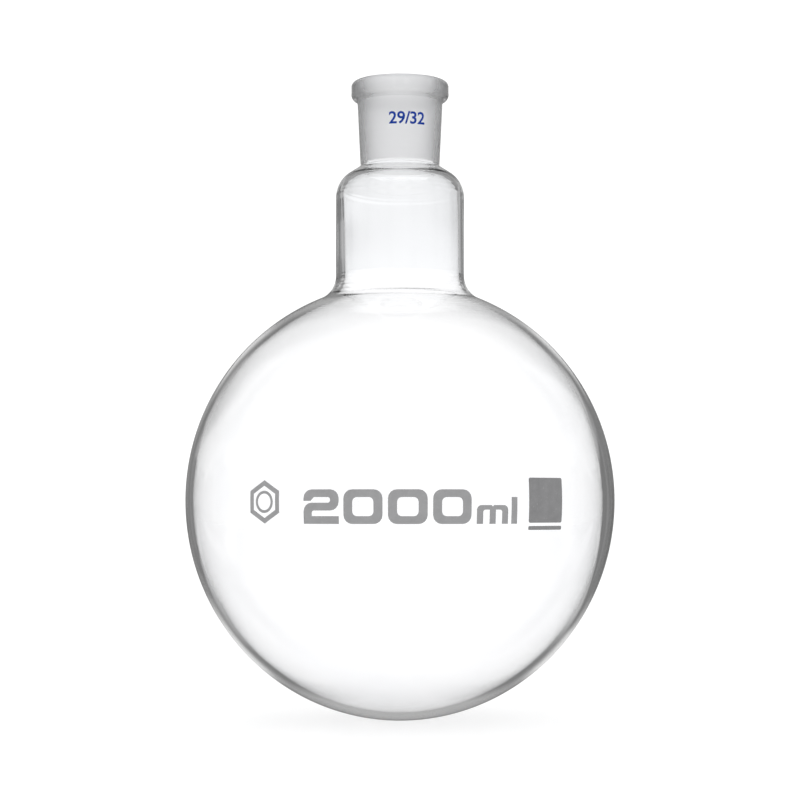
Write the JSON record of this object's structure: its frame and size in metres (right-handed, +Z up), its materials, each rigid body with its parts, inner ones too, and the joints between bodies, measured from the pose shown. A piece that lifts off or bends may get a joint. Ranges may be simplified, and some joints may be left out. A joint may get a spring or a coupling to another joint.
{
  "type": "round bottom flask",
  "caption": "Round bottom boiling flask in clear glass, with a wide straight neck, a ground socket with a beaded rim, and fired enamel marks.",
  "frame": {"origin": "the bulb's lowest point, on the flask's axis", "axes": "+Z up along the flask's axis towards the mouth, -Y towards the viewer of the printed marks, +X to that viewer's right"},
  "size_m": [0.166, 0.1665, 0.2486],
  "materials": {
    "clear_glass": "clear fire-polished borosilicate glass",
    "ground_glass": "clear borosilicate glass with a finely ground, frosted bore",
    "grey_enamel": "matt grey enamel, screen printed and fired on",
    "blue_enamel": "matt blue enamel, screen printed and fired on"
  },
  "bodies": {
    "root": {"bulb": "clear_glass", "neck": "clear_glass", "ground_socket": "ground_glass", "capacity_digit_thousands": "grey_enamel", "capacity_digit_hundreds": "grey_enamel", "capacity_digit_tens": "grey_enamel", "capacity_digit_units": "grey_enamel", "capacity_unit_m": "grey_enamel", "capacity_unit_l": "grey_enamel", "marking_patch": "grey_enamel", "patch_bar": "grey_enamel", "badge_hexagon": "grey_enamel", "badge_ring": "grey_enamel", "joint_size_digit_1": "blue_enamel", "joint_size_digit_2": "blue_enamel", "joint_size_slash": "blue_enamel", "joint_size_digit_3": "blue_enamel", "joint_size_digit_4": "blue_enamel"}
  },
  "joints": []
}
